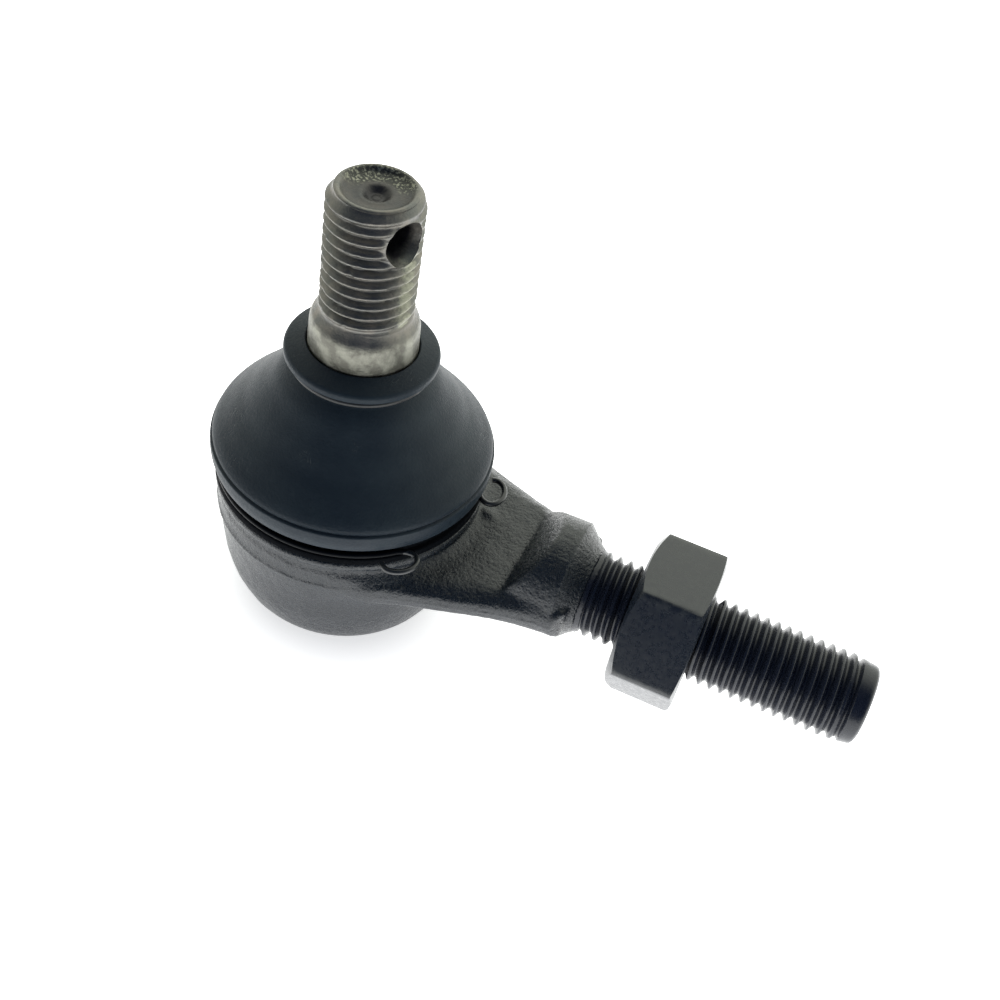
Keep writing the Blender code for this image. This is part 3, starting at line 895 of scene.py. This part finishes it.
def painted_forging():
    """Thin black paint over a rough forging, smoother on the turned thread, with painted highlights along the
    thread's crests.
    """
    look = Look("painted_forging")
    turned_part = look.attribute("turned")
    crest = look.attribute("crest")
    patches = look.noise(3.2, 4.0)
    grain = look.noise(0.34, 5.0, 0.62)
    pebble = look.noise(0.8, 2.0, 0.5)
    dust = look.ramp(look.noise(0.5, 2.0), 0.64, 0.74)
    base = look.mix(patches, (0.004, 0.008, 0.015), (0.009, 0.015, 0.022))
    base = look.mix(look.math("MULTIPLY", dust, 0.35), base, (0.085, 0.09, 0.08))
    base = look.mix(turned_part, base, (0.010, 0.013, 0.024))
    # Painted highlight: the thread's crests are drawn a little lighter.
    bright = look.math("MULTIPLY", look.ramp(crest, 0.90, 1.0), 0.06)
    base = look.mix(bright, base, (0.10, 0.11, 0.11))
    look.link(look.ramp(turned_part, 0.0, 1.0, 0.5, 0.38), look.shader.inputs["Specular IOR Level"])
    look.colour(base)
    look.rough(look.ramp(grain, 0.3, 0.7, 0.20, 0.36))
    look.set("IOR", 1.58)
    forged = look.math("SUBTRACT", 1.0, turned_part)
    look.bump(
        [
            (look.math("MULTIPLY", pebble, forged), 0.10),
            (look.math("MULTIPLY", grain, look.ramp(turned_part, 0.0, 1.0, 1.0, 0.12)), 0.14),
        ]
    )
    return look.material


def bare_steel():
    """Oily grey steel, bright on its ground seat, with painted highlights on its crests and on the thread's
    right side, and painted shade in its thread roots and cotter hole.
    """
    look = Look("bare_steel")
    crest = look.attribute("crest")
    bore = look.attribute("bore")
    seat = look.attribute("seat")
    wear_and_painted_highlight = look.attribute("wear_and_painted_highlight")
    dish = look.attribute("dish")
    stain = look.noise(1.8, 4.0, 0.6)
    lathe = look.noise(0.35, 3.0, 0.6, 0.0, look.stretched((0.12, 0.12, 1.0)))
    tear = look.noise(0.55, 4.0, 0.6, 0.0, look.stretched((0.7, 0.7, 2.2)))
    fleck = look.noise(0.24, 3.0)
    base = look.mix(look.ramp(stain, 0.35, 0.7), (0.15, 0.152, 0.146), (0.25, 0.232, 0.205))
    # Painted shade in the thread roots, painted highlights on the crests.
    base = look.mix(look.ramp(crest, 0.0, 0.5, 0.5, 0.0), base, (0.06, 0.06, 0.057))
    base = look.mix(look.ramp(crest, 0.92, 1.0, 0.0, 0.4), base, (0.32, 0.32, 0.29))
    # Painted highlight on the thread's right side, with a ragged edge.
    ragged = look.ramp(look.math("ADD", wear_and_painted_highlight, look.math("MULTIPLY", tear, 1.6)), 1.30, 1.80)
    base = look.mix(ragged, base, (0.34, 0.34, 0.28))
    bright = look.mix(look.ramp(stain, 0.42, 0.60), (0.14, 0.138, 0.118), (0.27, 0.27, 0.23))
    base = look.mix(seat, base, bright)
    speckle = look.mix(look.ramp(look.noise(0.3, 3.0), 0.5, 0.62), (0.07, 0.071, 0.066), (0.34, 0.34, 0.27))
    # Painted shade in the cotter hole, and the dished end darker.
    base = look.mix(look.math("MULTIPLY", bore, 0.9), base, (0.010, 0.010, 0.018))
    base = look.mix(dish, base, speckle)
    look.colour(base)
    look.set("Metallic", 0.85)
    look.rough(look.ramp(look.math("ADD", stain, fleck), 0.7, 1.3, 0.34, 0.50))
    look.bump([(lathe, 0.025), (fleck, 0.04)])
    return look.material


def boot_rubber():
    """Blue-black rubber with a faint bloom and a few hair scratches, with painted shade below the bead: near
    black and dull where the bead shades it.
    """
    look = Look("boot_rubber")
    painted_shade = look.attribute("painted_shade")
    bloom = look.noise(5.0, 3.0, 0.6)
    grain = look.noise(0.28, 4.0, 0.6)
    base = look.mix(look.ramp(bloom, 0.35, 0.7), (0.012, 0.021, 0.032), (0.018, 0.029, 0.040))
    scuff = look.noise(1.3, 1.0, 0.5, 3.0, look.stretched((1.0, 0.25, 0.6)))
    line = look.math("ABSOLUTE", look.math("SUBTRACT", scuff, 0.5))
    thin = look.ramp(line, 0.0, 0.008, 1.0, 0.0)
    here = look.ramp(look.noise(6.5, 1.0), 0.60, 0.66)
    scratch = look.math("MULTIPLY", thin, here)
    base = look.mix(look.math("MULTIPLY", scratch, 0.6), base, (0.12, 0.135, 0.14))
    # Painted shade below the bead: near black, with its reflection turned down.
    base = look.mix(painted_shade, base, (0.002, 0.003, 0.005))
    look.colour(base)
    look.rough(look.ramp(look.math("ADD", grain, painted_shade), 0.3, 1.7, 0.42, 0.85))
    look.link(look.ramp(painted_shade, 0.0, 1.0, 0.21, 0.06), look.shader.inputs["Specular IOR Level"])
    look.bump([(grain, 0.05), (look.noise(2.0, 3.0), 0.03), (scratch, 0.02)])
    return look.material


def blackened_steel(name, low, high, rough):
    """Black steel that clouds from one colour to the other, with painted shade, near black and dull, where
    that is marked.
    """
    look = Look(name)
    cloud = look.noise(2.6, 5.0, 0.6)
    grain = look.noise(0.5, 4.0, 0.6)
    pit = look.ramp(look.noise(0.8, 1.0), 0.30, 0.25)
    base = look.mix(cloud, low, high)
    base = look.mix(look.math("MULTIPLY", pit, 0.12), base, (0.004, 0.006, 0.009))
    # Painted shade where marked: near black, with its reflection turned down.
    painted_shade = look.attribute("painted_shade")
    base = look.mix(painted_shade, base, (0.002, 0.003, 0.005))
    look.colour(base)
    look.link(look.ramp(painted_shade, 0.0, 1.0, 0.5, 0.06), look.shader.inputs["Specular IOR Level"])
    look.rough(look.ramp(grain, 0.3, 0.7, rough - 0.05, rough + 0.08))
    look.set("IOR", 1.6)
    look.bump([(grain, 0.012), (look.noise(4.0, 2.0), 0.03)])
    return look


def nut_steel():
    """Black oxide, rubbed a little along the hexagon's corners."""
    look = blackened_steel("nut_steel", (0.008, 0.012, 0.021), (0.012, 0.017, 0.026), 0.28)
    wear_and_painted_highlight = look.math("MULTIPLY", look.attribute("edge"), look.ramp(look.noise(0.9, 3.0), 0.4, 0.6))
    oxide = look.shader.inputs["Base Color"].links[0].from_socket
    look.colour(look.mix(look.math("MULTIPLY", wear_and_painted_highlight, 0.3), oxide, (0.10, 0.105, 0.10)))
    look.set("IOR", 1.66)
    return look.material


def acetal():
    """Off-white acetal of the two seats."""
    look = Look("acetal_seat")
    swirl = look.noise(3.0, 3.0)
    look.colour(look.mix(swirl, (0.66, 0.64, 0.57), (0.76, 0.74, 0.68)))
    look.rough(look.ramp(swirl, 0.3, 0.7, 0.34, 0.46))
    look.set("Subsurface Weight", 0.1)
    look.set("Subsurface Scale", 0.001)
    look.bump([(look.noise(0.6, 3.0), 0.02)])
    return look.material


def spring_steel():
    """Tempered steel of the disc spring, lightly brushed."""
    look = Look("spring_steel")
    brushed = look.noise(0.5, 4.0, 0.6, 0.0, look.stretched((1.0, 1.0, 0.2)))
    look.colour(look.mix(brushed, (0.18, 0.18, 0.19), (0.30, 0.29, 0.28)))
    look.set("Metallic", 1.0)
    look.rough(look.ramp(brushed, 0.3, 0.7, 0.24, 0.38))
    look.bump([(brushed, 0.01)])
    return look.material


# ---------------------------------------------------------------- floor, room, camera


def make_stage():
    """A white floor that glows round the object and less further out, its glow painted dimmer under the
    socket as a shadow.
    """
    mesh = bpy.data.meshes.new("floor")
    reach = FLOOR_REACH
    corners = [(-reach, -reach, 0), (reach, -reach, 0), (reach, reach, 0), (-reach, reach, 0)]
    mesh.from_pydata(corners, [], [(0, 1, 2, 3)])
    floor = bpy.data.objects.new("floor", mesh)
    floor.location.z = -0.0001
    bpy.context.scene.collection.objects.link(floor)
    look = Look("floor_white")
    grain = look.noise(6.0, 2.0)
    look.colour(look.mix(grain, (0.91, 0.91, 0.91), (0.93, 0.93, 0.93)))
    look.set("Roughness", 0.9)
    look.set("Emission Color", (1.0, 1.0, 1.0, 1.0))
    away = look.add("ShaderNodeVectorMath", operation="LENGTH")
    look.link(look.place, away.inputs[0])
    # Painted shadow: the glow is dimmer under and just round the socket.
    glow = look.ramp(away.outputs["Value"], 0.012, 0.030, 0.7, 1.8)
    fading = look.ramp(away.outputs["Value"], 0.12, 0.32, 0.0, 1.0)
    kept = look.math("SUBTRACT", 1.0, look.math("MULTIPLY", fading, 0.85))
    look.link(look.math("MULTIPLY", glow, kept), look.shader.inputs["Emission Strength"])
    mesh.materials.append(look.material)


def along(tree, direction, way):
    """How far each direction of the room points along the given one, from -1 to 1."""
    node = tree.nodes.new("ShaderNodeVectorMath")
    node.operation = "DOT_PRODUCT"
    tree.links.new(direction, node.inputs[0])
    node.inputs[1].default_value = way
    return node.outputs["Value"]


def spread(tree, value, low, high, out_low, out_high, kind="LINEAR"):
    """A Map Range node of the room's tree."""
    node = tree.nodes.new("ShaderNodeMapRange")
    node.interpolation_type = kind
    tree.links.new(value, node.inputs["Value"])
    node.inputs["From Min"].default_value = low
    node.inputs["From Max"].default_value = high
    node.inputs["To Min"].default_value = out_low
    node.inputs["To Max"].default_value = out_high
    return node.outputs["Result"]


def make_world(toward_camera):
    """A white room, dark where the camera and its user stand and dimmer on its left."""
    world = bpy.data.worlds.new("studio")
    bpy.context.scene.world = world
    world.use_nodes = True
    tree = world.node_tree
    background = tree.nodes["Background"]
    direction = tree.nodes.new("ShaderNodeTexCoord").outputs["Generated"]
    dark = spread(tree, along(tree, direction, toward_camera), 0.10, 0.82, 0.0, 1.0, "SMOOTHSTEP")
    tint = tree.nodes.new("ShaderNodeMix")
    tint.data_type = "RGBA"
    tree.links.new(dark, tint.inputs["Factor"])
    tint.inputs[6].default_value = ROOM_WHITE
    tint.inputs[7].default_value = ROOM_DARK
    tree.links.new(tint.outputs[2], background.inputs["Color"])
    strength = spread(tree, along(tree, direction, ROOM_LEFT), 0.0, 0.9, 1.0, 0.55)
    tree.links.new(strength, background.inputs["Strength"])


def make_camera():
    """Sets the camera, and gives the direction from the object back to it."""
    azimuth, elevation, roll = (math.radians(angle) for angle in CAMERA_ANGLES)
    flat = math.cos(elevation)
    back = Vector((math.sin(azimuth) * flat, -math.cos(azimuth) * flat, math.sin(elevation)))
    level = Vector((math.cos(azimuth), math.sin(azimuth), 0.0))
    down = (-back).cross(level)
    right = level * math.cos(roll) + down * math.sin(roll)
    up = back.cross(right)
    data = bpy.data.cameras.new("camera")
    data.sensor_width = 36.0
    data.lens = CAMERA_LENS
    data.clip_start = 0.01
    data.clip_end = 20.0
    camera = bpy.data.objects.new("camera", data)
    camera.matrix_world = Matrix(
        (
            (right.x, up.x, back.x, CAMERA_PLACE[0]),
            (right.y, up.y, back.y, CAMERA_PLACE[1]),
            (right.z, up.z, back.z, CAMERA_PLACE[2]),
            (0, 0, 0, 1),
        )
    )
    bpy.context.scene.collection.objects.link(camera)
    bpy.context.scene.camera = camera
    return back


def wear(made, material, slot, body, *nodes):
    """Gives a piece its material and its body, and hides the CAD nodes that it stands for. The slot is not
    used.
    """
    made.data.materials.clear()
    made.data.materials.append(material)
    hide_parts(*nodes)
    if body:
        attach(made, body)


def main():
    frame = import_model()
    toward_camera = make_camera()
    make_stage()
    make_world(toward_camera)

    plate_paint = blackened_steel("plate_paint", (0.012, 0.014, 0.016), (0.026, 0.028, 0.028), 0.4).material
    clip_wire = blackened_steel("clip_wire", (0.008, 0.010, 0.013), (0.018, 0.021, 0.024), 0.3).material
    ring_wire = blackened_steel("neck_ring_black", (0.006, 0.008, 0.010), (0.014, 0.016, 0.018), 0.4).material
    wear(make_forging(), painted_forging(), "painted_steel", "socket", "housing")
    wear(make_closing_plate(), plate_paint, "painted_steel", "socket", "closing_plate")
    wear(make_ball_stud(), bare_steel(), "bare_steel", "stud", "ball_stud")
    wear(make_boot_clip(), clip_wire, "black_wire", "socket", "boot_clip")
    wear(make_jam_nut(), nut_steel(), "black_nut", "nut", "jam_nut")
    wear(make_neck_ring(), ring_wire, "black_wire", "boot_neck", "neck_ring")
    boot = make_dust_boot()
    wear(boot, boot_rubber(), "rubber", None, "dust_boot")
    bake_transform(boot)
    seat, spring = acetal(), spring_steel()
    for node, look in (("upper_bearing", seat), ("lower_bearing", seat), ("preload_spring", spring)):
        cad = frame["nodes"][node]
        cad.data.materials.clear()
        cad.data.materials.append(look)

    scene = bpy.context.scene
    scene.view_settings.view_transform = "Standard"
    scene.view_settings.look = "None"


main()
